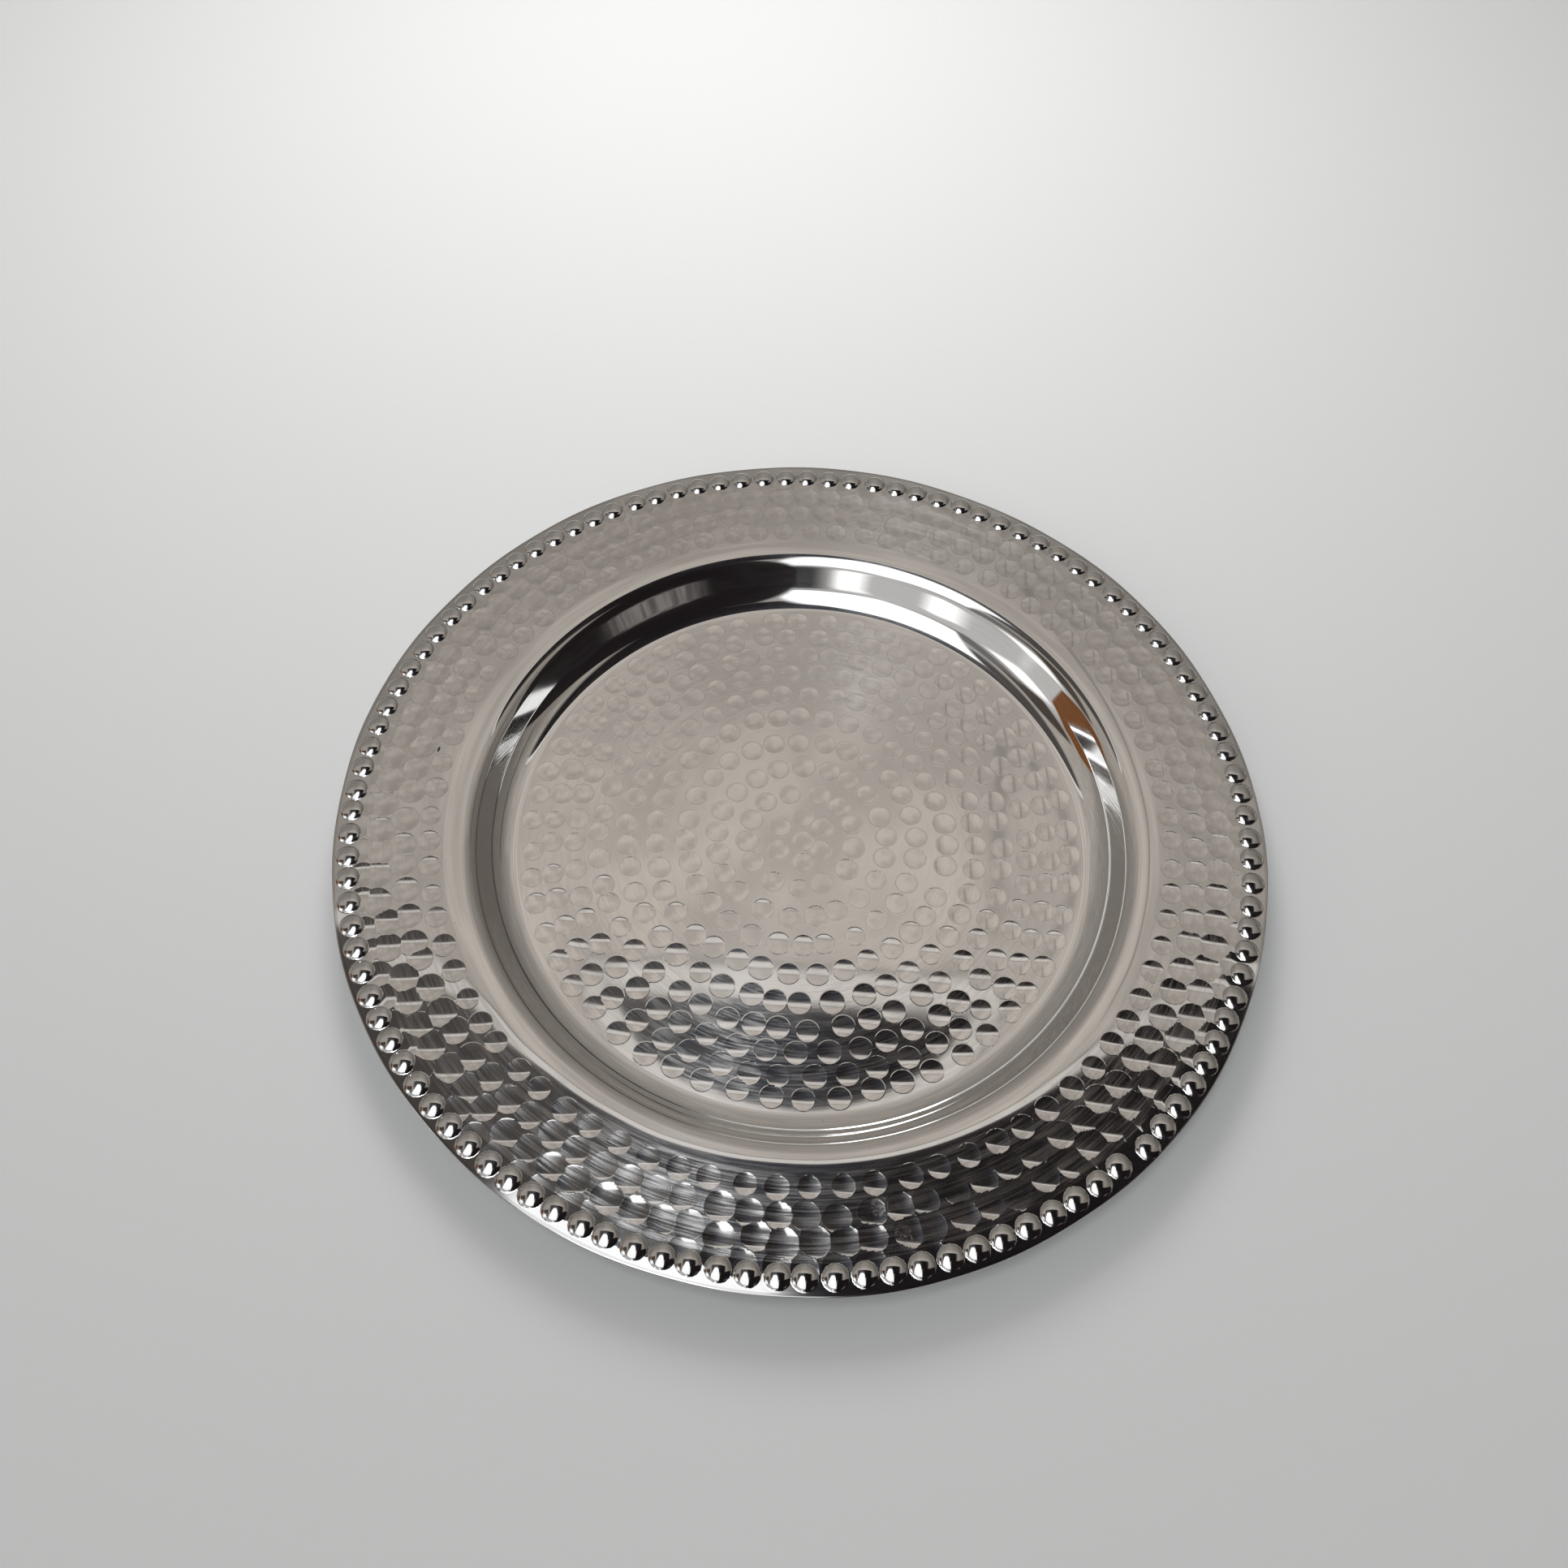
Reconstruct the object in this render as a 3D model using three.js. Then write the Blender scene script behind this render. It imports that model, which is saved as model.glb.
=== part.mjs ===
// Round hammered-steel offering plate, pressed from one sheet of stainless steel.
// Millimetres, +Z up. The origin is the centre of the underside of the well, where the plate rests.
//
// The real plate is one sheet. Here it is divided where one forming step ends and the next begins:
// hammered floor, drawn wall, rolled shoulder, hammered rim, punched beads and eased edge. Each zone is
// one closed ring of sheet, and neighbouring zones meet face to face on the same cut.
import * as THREE from 'three';
import { mergeVertices } from 'three/addons/utils/BufferGeometryUtils.js';

// ---- driving dimensions ----
const PLATE_RADIUS = 165;
const SHEET = 0.8;
const WELL_DEPTH = 13.7;        // from the rim beside the shoulder down to the floor of the well
const RIM_RISE = 0.7;           // the rim climbs this much from the shoulder to its outer edge
const FLOOR_RADIUS = 102.4;     // the flat floor ends and the cove begins
const COVE_RADIUS = 12;         // concave bend between floor and wall, on the upper skin
const SHOULDER_RADIUS = 7;      // convex bend between wall and rim, on the upper skin
const WALL_SLOPE = THREE.MathUtils.degToRad(66);
const HAMMERED_FROM = 126.4;    // the hammer marks start here, outside a smooth margin
const BEAD_COUNT = 111;
const BEAD_CIRCLE = 159.1;      // radius of the circle through the bead centres
const BEAD_RADIUS = 4.0;
const BEAD_HEIGHT = 1.8;
const BEAD_BAND = 9;            // width of the ring that the beads are punched in
const BEAD_SIDES = 8;
const CROWN_REACH = 0.55;       // where a bead's middle ring of points lies, as a share of its base radius
const COVE_STEPS = 4;
const SHOULDER_STEPS = 3;
const EDGE_EASE = 0.25;         // the cut edge is rubbed down by this much, above and below

// ---- sizes worked out from them ----
const SEGMENTS = BEAD_COUNT;    // every ring is cut in the same places, so that the zones fit each other
const BEAD_FROM = BEAD_CIRCLE - BEAD_BAND / 2;
const BEAD_TO = BEAD_CIRCLE + BEAD_BAND / 2;
const FLOOR_TOP = SHEET;
const RIM_TOP = FLOOR_TOP + WELL_DEPTH;
const bendFall = 1 - Math.cos(WALL_SLOPE);
const STRAIGHT_FALL = WELL_DEPTH - (COVE_RADIUS + SHOULDER_RADIUS) * bendFall;
const COVE_END = FLOOR_RADIUS + COVE_RADIUS * Math.sin(WALL_SLOPE);
const WALL_END = COVE_END + STRAIGHT_FALL / Math.tan(WALL_SLOPE);
const SHOULDER_END = WALL_END + SHOULDER_RADIUS * Math.sin(WALL_SLOPE);
const RIM_SLOPE = RIM_RISE / (PLATE_RADIUS - SHOULDER_END);

const steel = (name, color, roughness) =>
  Object.assign(new THREE.MeshStandardMaterial({ color, roughness, metalness: 1 }), { name });

// Height of the rim's upper skin, outside the shoulder.
const rimTop = (radius) => RIM_TOP + (radius - SHOULDER_END) * RIM_SLOPE;

// A pair of points, one on each skin, where the sheet's section climbs outwards at the given slope.
const sectionPoint = (radius, height, slope) => ({
  upper: new THREE.Vector2(radius, height),
  lower: new THREE.Vector2(radius + SHEET * Math.sin(slope), height - SHEET * Math.cos(slope)),
});

// The cove: from flat floor to the wall's full slope, about a centre above the sheet.
function coveSection() {
  const points = [];
  for (let i = 0; i <= COVE_STEPS; i++) {
    const slope = (WALL_SLOPE * i) / COVE_STEPS;
    const radius = FLOOR_RADIUS + COVE_RADIUS * Math.sin(slope);
    points.push(sectionPoint(radius, FLOOR_TOP + COVE_RADIUS * (1 - Math.cos(slope)), slope));
  }
  return points;
}

// The shoulder: from the wall's full slope to the flat rim, about a centre below the sheet.
function shoulderSection() {
  const points = [];
  for (let i = 0; i <= SHOULDER_STEPS; i++) {
    const slope = WALL_SLOPE * (1 - i / SHOULDER_STEPS);
    const radius = SHOULDER_END - SHOULDER_RADIUS * Math.sin(slope);
    points.push(sectionPoint(radius, RIM_TOP - SHOULDER_RADIUS * (1 - Math.cos(slope)), slope));
  }
  return points;
}

const rimSection = (radius) => sectionPoint(radius, rimTop(radius), 0);

// Turns an outline, listed anticlockwise in (radius, height), about +Z.
function turned(name, outline, material) {
  const geometry = new THREE.LatheGeometry(outline, SEGMENTS);
  geometry.rotateX(Math.PI / 2);
  const mesh = new THREE.Mesh(geometry, material);
  mesh.name = name;
  return mesh;
}

// A ring of sheet from a row of section points that runs outwards. Its outline closes on itself.
function sheetRing(name, section, material) {
  const outline = [...section.map((pair) => pair.lower), ...section.map((pair) => pair.upper).reverse()];
  return turned(name, [...outline, outline[0]], material);
}

function wellFloor(material) {
  const outline = [
    new THREE.Vector2(0, 0),
    new THREE.Vector2(FLOOR_RADIUS, 0),
    new THREE.Vector2(FLOOR_RADIUS, FLOOR_TOP),
    new THREE.Vector2(0, FLOOR_TOP),
  ];
  return turned('well_floor', outline, material);
}

// The cove, then the short straight wall up to where the shoulder begins.
function wellWall(material) {
  return sheetRing('well_wall', [...coveSection(), shoulderSection()[0]], material);
}

function rimShoulder(material) {
  return sheetRing('rim_shoulder', [...shoulderSection(), rimSection(HAMMERED_FROM)], material);
}

const ringPoint = (radius, angle, height) =>
  new THREE.Vector3(radius * Math.sin(angle), -radius * Math.cos(angle), height);

// The angle of a cut between two cells. The last cut is the first one again, to the last digit.
const cutAngle = (cut) => ((cut % SEGMENTS) / SEGMENTS) * Math.PI * 2;

// One skin of the beaded ring: a domed bead in each cell, and flat sheet out to the cell's four corners.
// `drop` is how far this skin lies under the upper one. The hollow in the lower skin is a little smaller.
function beadSkin(drop, facing) {
  const positions = [];
  const baseRadius = BEAD_RADIUS - drop / 2;
  const capRadius = (BEAD_RADIUS ** 2 + BEAD_HEIGHT ** 2) / (2 * BEAD_HEIGHT);
  const domeHeight = (reach) => Math.sqrt(capRadius ** 2 - reach ** 2) - (capRadius - BEAD_HEIGHT);
  const face = (...corners) => {
    const ordered = facing > 0 ? corners : corners.reverse();
    ordered.forEach((corner) => positions.push(corner.x, corner.y, corner.z));
  };

  for (let bead = 0; bead < BEAD_COUNT; bead++) {
    const middle = ((bead + 0.5) / SEGMENTS) * Math.PI * 2;
    const centre = ringPoint(BEAD_CIRCLE, middle, rimTop(BEAD_CIRCLE) - drop);
    const outward = new THREE.Vector3(Math.sin(middle), -Math.cos(middle), 0);
    const along = new THREE.Vector3(Math.cos(middle), Math.sin(middle), 0);
    const circle = (reach) =>
      Array.from({ length: BEAD_SIDES }, (_, side) => {
        const turn = ((side + 0.5) / BEAD_SIDES) * Math.PI * 2;
        const point = centre.clone();
        point.addScaledVector(outward, reach * Math.cos(turn));
        point.addScaledVector(along, reach * Math.sin(turn));
        point.z += reach < baseRadius ? domeHeight(reach) : RIM_SLOPE * reach * Math.cos(turn);
        return point;
      });
    const base = circle(baseRadius);
    const crown = circle(baseRadius * CROWN_REACH);
    const apex = centre.clone().setZ(centre.z + BEAD_HEIGHT);
    // Corners in the order in which the base circle's sides pass them.
    const corners = [
      ringPoint(BEAD_TO, cutAngle(bead + 1), rimTop(BEAD_TO) - drop),
      ringPoint(BEAD_FROM, cutAngle(bead + 1), rimTop(BEAD_FROM) - drop),
      ringPoint(BEAD_FROM, cutAngle(bead), rimTop(BEAD_FROM) - drop),
      ringPoint(BEAD_TO, cutAngle(bead), rimTop(BEAD_TO) - drop),
    ];
    for (let side = 0; side < BEAD_SIDES; side++) {
      const next = (side + 1) % BEAD_SIDES;
      face(apex, crown[side], crown[next]);
      face(crown[side], base[side], base[next]);
      face(crown[side], base[next], crown[next]);
    }
    // Two base points belong to each corner: a triangle holds them, and a quad spans to the next corner.
    for (let corner = 0; corner < 4; corner++) {
      const first = base[2 * corner];
      const second = base[2 * corner + 1];
      const third = base[(2 * corner + 2) % BEAD_SIDES];
      const following = corners[(corner + 1) % 4];
      face(first, corners[corner], second);
      face(second, corners[corner], following);
      face(second, following, third);
    }
  }
  return positions;
}

// The cut faces that close the beaded ring at its inner and outer radius.
function beadRingSide(radius, facing) {
  const positions = [];
  const top = rimTop(radius);
  for (let bead = 0; bead < BEAD_COUNT; bead++) {
    const corners = [
      ringPoint(radius, cutAngle(bead), top - SHEET),
      ringPoint(radius, cutAngle(bead + 1), top - SHEET),
      ringPoint(radius, cutAngle(bead + 1), top),
      ringPoint(radius, cutAngle(bead), top),
    ];
    const order = facing > 0 ? [0, 1, 2, 0, 2, 3] : [0, 2, 1, 0, 3, 2];
    order.forEach((index) => positions.push(...corners[index].toArray()));
  }
  return positions;
}

function beadedBorder(material) {
  const positions = [
    ...beadSkin(0, 1),
    ...beadSkin(SHEET, -1),
    ...beadRingSide(BEAD_TO, 1),
    ...beadRingSide(BEAD_FROM, -1),
  ];
  const loose = new THREE.BufferGeometry();
  loose.setAttribute('position', new THREE.Float32BufferAttribute(positions, 3));
  const geometry = mergeVertices(loose);
  geometry.computeVertexNormals();
  const mesh = new THREE.Mesh(geometry, material);
  mesh.name = 'beaded_border';
  return mesh;
}

// The last strip of sheet, with the corners of the cut edge rubbed down.
function edgeLip(material) {
  const inner = rimSection(BEAD_TO);
  const outer = rimSection(PLATE_RADIUS);
  const outline = [
    inner.lower,
    new THREE.Vector2(PLATE_RADIUS - EDGE_EASE, outer.lower.y),
    new THREE.Vector2(PLATE_RADIUS, outer.lower.y + EDGE_EASE),
    new THREE.Vector2(PLATE_RADIUS, outer.upper.y - EDGE_EASE),
    new THREE.Vector2(PLATE_RADIUS - EDGE_EASE, outer.upper.y),
    inner.upper,
    inner.lower,
  ];
  return turned('edge_lip', outline, material);
}

const plate = new THREE.Group();
plate.name = 'offering_plate';
plate.add(
  wellFloor(steel('floor_steel', 0xb9b4ae, 0.22)),
  wellWall(steel('wall_steel', 0xc4c1bd, 0.12)),
  rimShoulder(steel('shoulder_steel', 0xc0bcb7, 0.16)),
  sheetRing('hammered_rim', [rimSection(HAMMERED_FROM), rimSection(BEAD_FROM)],
    steel('rim_steel', 0xb5b0aa, 0.22)),
  beadedBorder(steel('bead_steel', 0xc8c5c1, 0.1)),
  edgeLip(steel('edge_steel', 0xaaa7a3, 0.28)),
);

export default plate;
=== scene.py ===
# Hammered, beaded offering plate pressed from one sheet of steel: the finished shapes and metal.
# Lengths are in millimetres until a mesh is made. Lights and the table are in metres.
import math

import bpy
import numpy as np
from mathutils import Matrix, Vector


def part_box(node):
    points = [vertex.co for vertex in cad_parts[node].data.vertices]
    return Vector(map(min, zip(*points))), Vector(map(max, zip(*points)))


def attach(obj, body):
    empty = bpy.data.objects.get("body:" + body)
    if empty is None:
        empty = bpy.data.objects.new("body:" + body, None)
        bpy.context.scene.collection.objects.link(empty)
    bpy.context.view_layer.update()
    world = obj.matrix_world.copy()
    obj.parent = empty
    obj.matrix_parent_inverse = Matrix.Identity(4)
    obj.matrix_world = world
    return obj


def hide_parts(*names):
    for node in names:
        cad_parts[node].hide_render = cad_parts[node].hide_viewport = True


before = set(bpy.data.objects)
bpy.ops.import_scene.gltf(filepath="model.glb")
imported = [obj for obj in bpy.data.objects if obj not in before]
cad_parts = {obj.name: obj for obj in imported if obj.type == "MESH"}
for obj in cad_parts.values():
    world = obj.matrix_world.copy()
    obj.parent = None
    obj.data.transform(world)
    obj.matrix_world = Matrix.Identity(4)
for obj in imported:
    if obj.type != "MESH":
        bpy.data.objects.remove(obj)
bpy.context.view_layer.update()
random = np.random.default_rng(11)

MM = 0.001
TURN = 2 * math.pi
NEVER_ZERO = 1e-6                      # keeps a radius from being exactly 0
SLICE = 20000                          # points compared with all the marks at a time


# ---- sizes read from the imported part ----

def outer_radius(node):
    """A turned node's first cut lies along -Y, so its box reaches its full radius there."""
    return -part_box(node)[0].y / MM


def top_of(node):
    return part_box(node)[1].z / MM


SHEET = top_of("well_floor")
FLOOR_RADIUS = outer_radius("well_floor")
HAMMERED_FROM = outer_radius("rim_shoulder")
BEAD_FROM = outer_radius("hammered_rim")
BEAD_TO = outer_radius("beaded_border")
PLATE_RADIUS = outer_radius("edge_lip")
EDGE_TOP = top_of("edge_lip")
BEAD_CIRCLE = (BEAD_FROM + BEAD_TO) / 2
BEAD_SHARE = 0.8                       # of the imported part's height, as the sheet under the beads bends down
BEAD_HEIGHT = BEAD_SHARE * (top_of("beaded_border") - EDGE_TOP)

# ---- the section, from the middle outwards ----
FLOOR_EASE_FROM = 88.0                 # the flat floor starts to turn up here
FLOOR_END_SLOPE = math.radians(2.0)
WALL_SLOPE = math.radians(57)
COVE_RADIUS = 11.6
SHOULDER_RADIUS = 7.2
WALL_STEPS = 24                        # rows of points over a bend
SHOULDER_STEPS = 19
MARGIN_STEPS = 8                       # and over the smooth margin outside the shoulder
RIM_SLOPE = math.radians(0.35)         # how much the rim still climbs, far from the shoulder
RIM_EXTRA = math.radians(4.05)         # and how much more beside it
RIM_SETTLE = 6.0                       # the distance over which that extra dies away
EDGE_STEPS = 8                         # round the cut edge
EDGE_WAVES = [(9, 1, 0.16), (23, 2, 0.09)]    # the cut edge wavers: waves per turn, phase, depth
LAND_FROM = BEAD_FROM                  # among the beads the sheet bends down to its edge
LAND_DROP = math.tan(math.radians(4.5))
LAND_BEND = 4.0                        # the distance over which it bends
RIM_LIFT = 0.35                        # which is why the rim stands a little higher than its edge
FLOOR_LIFT = 0.10                      # lets the bulges under the floor stand on the table

# ---- hammer marks and beads ----
FLOOR_MARK = 4.0                       # radius of a hammer mark
FLOOR_MARK_SLOPE = math.radians(1.5)   # slope at its edge
FLOOR_RING = 97.3                      # radius of the floor's outermost circle of marks
RING_PITCH = 7.3                       # from there to the next circle
PITCH_GROWTH = 0.8                     # how much further apart each pair of circles is than the last
WIDEST_PITCH = 11.0
MARK_SPACING = 9.3                     # along a circle near the centre
SPACING_FROM = 40.0                    # it starts to grow here, and is this much more one run further out
SPACING_GROWTH = 2.0
SPACING_RUN = 57.0
HARDER_FROM = 60.0                     # the floor was struck harder outside this, by this share over a run
HARDER_OUTSIDE = 0.35
HARDER_RUN = 40.0
CENTRE_MARK = (0.8, -0.5)
RIM_MARK = 3.9
RIM_MARK_SLOPE = math.radians(2.45)
HARDER_NEAR = 0.8                      # the near side of the rim was struck this much harder

# The rim's circles of marks: radius, count, size and slope as shares of the above, and how far they stray.
RIM_RINGS = [
    (131.3, 79, 1.0, 1.25, 0.7),
    (140.0, 92, 1.2, 1.15, 1.2),
    (148.3, 97, 1.3, 1.2, 1.4),
    (155.5, 102, 1.2, 1.0, 1.4),
]

# Spreads of the marks where `spread` is 1.
STRAY_ALONG = 0.07                     # in pitches of their circle
STRAY_OUT = 0.35
SIZE_SPREAD = 0.035
SLOPE_SPREAD = 0.16
SLOPE_LIMIT = 0.4

BEAD_COUNT = 111
BEAD_BASE = 4.05
BEAD_BLEND = 0.07                      # half height of the soft crease round a bead
CROWN_SHARE = 0.70                     # 1 for an evenly curved bead, and less for one with a steeper foot
CIRCUIT_CLOSES = math.radians(313.7)   # where the last bead was punched beside the first
CLOSING_GAP = 1.3                      # in bead pitches
STARTED_WIDE = 1.6                     # the first bead lies this far out, and the next ones come back in
BACK_IN = 1.8                          # the number of beads over which they do so
BEAD_WAVER = 0.25                      # the circle of beads isn't quite round
BEAD_STRAY_ALONG = 0.03                # in bead pitches
BEAD_STRAY_OUT = 0.12
BEAD_SIZE_SPREAD = 0.012
BEAD_PUNCHED = 0.95                    # share of the full height that most beads nearly reach
BEAD_HEIGHT_SPREAD = 0.05
SHOWS_BELOW = 0.9                      # how strongly the relief shows in the lower skin

# ---- sizes worked out from them ----
floor_run = FLOOR_RADIUS - FLOOR_EASE_FROM
floor_rise = FLOOR_END_SLOPE * floor_run / 2
FLOOR_TOP = SHEET + FLOOR_LIFT
COVE_TOP = FLOOR_TOP + floor_rise + COVE_RADIUS * (math.cos(FLOOR_END_SLOPE) - math.cos(WALL_SLOPE))
SHOULDER_END_SLOPE = RIM_SLOPE + RIM_EXTRA


def rim_rise(from_shoulder, run):
    """How far the rim climbs over a run that starts this far outside the shoulder."""
    settled = math.exp(-from_shoulder / RIM_SETTLE) - np.exp(-(from_shoulder + run) / RIM_SETTLE)
    return RIM_SLOPE * run + RIM_EXTRA * RIM_SETTLE * settled


def shoulder_end():
    """Radius and height where the shoulder's bend ends. From there the rim would come out RIM_LIFT above
    EDGE_TOP if it didn't bend down among the beads."""
    bends = COVE_RADIUS * (math.sin(WALL_SLOPE) - math.sin(FLOOR_END_SLOPE))
    bends += SHOULDER_RADIUS * (math.sin(WALL_SLOPE) - math.sin(SHOULDER_END_SLOPE))
    fall = SHOULDER_RADIUS * (math.cos(SHOULDER_END_SLOPE) - math.cos(WALL_SLOPE))
    radius = FLOOR_RADIUS + bends
    height = EDGE_TOP + RIM_LIFT - rim_rise(0, PLATE_RADIUS - radius)
    straight = (height - fall - COVE_TOP) / math.tan(WALL_SLOPE)
    return radius + straight, EDGE_TOP + RIM_LIFT - rim_rise(0, PLATE_RADIUS - radius - straight)


SHOULDER_END, SHOULDER_TOP = shoulder_end()


def floor_section(radius):
    """Height and slope of the floor's upper skin."""
    past = np.maximum(radius - FLOOR_EASE_FROM, 0) / floor_run
    return FLOOR_TOP + floor_rise * past ** 2, FLOOR_END_SLOPE * past


def rim_section(radius):
    """Height and slope of the rim's upper skin, outside the shoulder."""
    run = radius - SHOULDER_END
    past = np.maximum(radius - LAND_FROM, 0)
    bent = np.minimum(past, LAND_BEND)
    drop = LAND_DROP * (bent ** 2 / (2 * LAND_BEND) + past - bent)
    slope = RIM_SLOPE + RIM_EXTRA * np.exp(-run / RIM_SETTLE) - LAND_DROP * bent / LAND_BEND
    return SHOULDER_TOP + rim_rise(0, run) - drop, slope


def arc_section(radius, height, bend, slopes):
    """Rows of (radius, height, slope) along a bend that starts at that radius and height. A negative bend
    is a shoulder, whose slope falls on the way out."""
    first = slopes[0]
    radii = radius + bend * (np.sin(slopes) - math.sin(first))
    heights = height + bend * (math.cos(first) - np.cos(slopes))
    return np.stack([radii, heights, slopes], 1)


def wall_rows():
    """Section rows up the cove and the straight wall."""
    start = floor_section(FLOOR_RADIUS)[0]
    slopes = np.linspace(FLOOR_END_SLOPE, WALL_SLOPE, WALL_STEPS)
    cove = arc_section(FLOOR_RADIUS, start, COVE_RADIUS, slopes)
    return np.vstack([cove, shoulder_rows()[:1]])


def shoulder_rows():
    """Section rows over the shoulder and on to where the hammer marks start."""
    fall = SHOULDER_RADIUS * (math.cos(SHOULDER_END_SLOPE) - math.cos(WALL_SLOPE))
    run = SHOULDER_RADIUS * (math.sin(WALL_SLOPE) - math.sin(SHOULDER_END_SLOPE))
    slopes = np.linspace(WALL_SLOPE, SHOULDER_END_SLOPE, SHOULDER_STEPS)
    bend = arc_section(SHOULDER_END - run, SHOULDER_TOP - fall, -SHOULDER_RADIUS, slopes)
    radii = np.linspace(SHOULDER_END, HAMMERED_FROM, MARGIN_STEPS + 1)[1:]
    heights, rim_slopes = rim_section(radii)
    return np.vstack([bend, np.stack([radii, heights, rim_slopes], 1)])


# ---- the relief: everything hammered or punched into the smooth section ----

def ring_of_marks(radius, count, mark, slope, spread, harder_near=0.0):
    """One circle of hammer marks as rows of (x, y, curvature radius, depth). `mark` is the radius of each,
    and `spread` is how far they stray from an even circle."""
    angles = random.uniform(0, TURN) + np.arange(count) * TURN / count
    angles += random.normal(0, STRAY_ALONG * spread, count) * TURN / count
    radii = radius + random.normal(0, STRAY_OUT * spread, count)
    reach = mark * (1 + random.normal(0, SIZE_SPREAD, count))
    steep = slope * (1 + random.normal(0, SLOPE_SPREAD * spread, count).clip(-SLOPE_LIMIT, SLOPE_LIMIT))
    steep *= 1 + harder_near * np.maximum(-np.sin(angles), 0) ** 2
    curve = reach / np.tan(steep)
    return np.stack([radii * np.cos(angles), radii * np.sin(angles), curve, reach ** 2 / (2 * curve)], 1)


def floor_marks():
    """Circles of marks from the cove inwards, struck a little harder on the outer circles, and one mark near
    the centre."""
    rings = []
    radius = FLOOR_RING
    pitch = RING_PITCH
    while radius > FLOOR_MARK:
        spacing = MARK_SPACING + SPACING_GROWTH * (max(radius - SPACING_FROM, 0) / SPACING_RUN) ** 2
        slope = FLOOR_MARK_SLOPE * (1 + HARDER_OUTSIDE * max(0, (radius - HARDER_FROM) / HARDER_RUN))
        rings.append(ring_of_marks(radius, round(TURN * radius / spacing), FLOOR_MARK, slope, 1))
        radius -= pitch
        pitch = min(pitch + PITCH_GROWTH, WIDEST_PITCH)
    shallow = FLOOR_MARK / FLOOR_MARK_SLOPE, FLOOR_MARK * FLOOR_MARK_SLOPE / 2
    return np.vstack([*rings, [[*CENTRE_MARK, *shallow]]])


def rim_marks():
    """The first circle stands apart. The others overlap, and leave creases where two marks meet."""
    return np.vstack([
        ring_of_marks(radius, count, size * RIM_MARK, steep * RIM_MARK_SLOPE, spread, HARDER_NEAR)
        for radius, count, size, steep, spread in RIM_RINGS
    ])


def beads():
    """Every bead as (x, y, base radius, height), in the order in which they were punched."""
    pitch = TURN / (BEAD_COUNT - 1 + CLOSING_GAP)
    order = np.arange(BEAD_COUNT)
    stray = random.normal(0, BEAD_STRAY_ALONG, BEAD_COUNT)
    angles = CIRCUIT_CLOSES + pitch * (CLOSING_GAP / 2 + order + stray)
    radii = BEAD_CIRCLE + BEAD_WAVER * np.sin(2 * angles + 1)
    radii = radii + random.normal(0, BEAD_STRAY_OUT, BEAD_COUNT)
    radii += STARTED_WIDE * np.exp(-order / BACK_IN)
    bases = BEAD_BASE * (1 + random.normal(0, BEAD_SIZE_SPREAD, BEAD_COUNT))
    heights = BEAD_HEIGHT * (BEAD_PUNCHED - np.abs(random.normal(0, BEAD_HEIGHT_SPREAD, BEAD_COUNT)))
    return np.stack([radii * np.cos(angles), radii * np.sin(angles), bases, heights], 1)


FLOOR_MARKS = floor_marks()
RIM_MARKS = rim_marks()
BEADS = beads()


def nearest_first(x, y, centres, measure):
    """For every point, the index of the centre with the lowest measure, worked out a slice at a time."""
    found = np.empty(x.size, int)
    for start in range(0, x.size, SLICE):
        part = slice(start, start + SLICE)
        dx = x[part, None] - centres[None, :, 0]
        dy = y[part, None] - centres[None, :, 1]
        found[part] = measure(dx * dx + dy * dy).argmin(1)
    return found


def marked(x, y, marks):
    """Depth of the hammer marks and its gradient. Where marks overlap, the deeper one wins."""
    flat_x, flat_y = x.ravel(), y.ravel()
    best = marks[nearest_first(flat_x, flat_y, marks, lambda far: far / (2 * marks[:, 2]) - marks[:, 3])]
    dx, dy = flat_x - best[:, 0], flat_y - best[:, 1]
    depth = (dx * dx + dy * dy) / (2 * best[:, 2]) - best[:, 3]
    inside = depth < 0
    parts = depth * inside, dx / best[:, 2] * inside, dy / best[:, 2] * inside
    return [part.reshape(x.shape) for part in parts]


def mark_reach(marks):
    return np.sqrt(2 * marks[:, 2] * marks[:, 3])


def from_edge(x, y, centres, reach):
    """How far each point lies outside the nearest of some circles, and negative inside it."""
    flat_x, flat_y = x.ravel(), y.ravel()
    nearest = nearest_first(flat_x, flat_y, centres, lambda far: far - reach ** 2)
    centre = centres[nearest]
    return np.hypot(flat_x - centre[:, 0], flat_y - centre[:, 1]) - reach[nearest]


def beaded(x, y, below):
    """Punches the beads into the relief `below`, with a soft crease round each."""
    flat_x, flat_y = x.ravel(), y.ravel()
    best = BEADS[nearest_first(flat_x, flat_y, BEADS, lambda far: far)]
    dx, dy = flat_x - best[:, 0], flat_y - best[:, 1]
    far = (dx * dx + dy * dy) / best[:, 2] ** 2
    fall = 2 * best[:, 3] / best[:, 2] ** 2 * (CROWN_SHARE + 4 * (1 - CROWN_SHARE) * far ** 3)
    dome = [best[:, 3] * (1 - CROWN_SHARE * far - (1 - CROWN_SHARE) * far ** 4), -dx * fall, -dy * fall]
    base = [part.ravel() for part in below]
    # A smooth maximum of the two surfaces.
    share = (0.5 + (dome[0] - base[0]) / (4 * BEAD_BLEND)).clip(0, 1)
    blended = [b + (d - b) * share for d, b in zip(dome, base)]
    blended[0] = blended[0] + 2 * BEAD_BLEND * share * (1 - share)
    return [part.reshape(x.shape) for part in blended]


# Unevenness of the sheet: waves per turn, phase, depth, and the length over which they spiral outwards.
WAVES = [(3, 0.9, 0.05, 31), (7, 2.1, 0.035, 23), (13, 4.4, 0.02, 17), (29, 0.3, 0.006, 11)]


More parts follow.
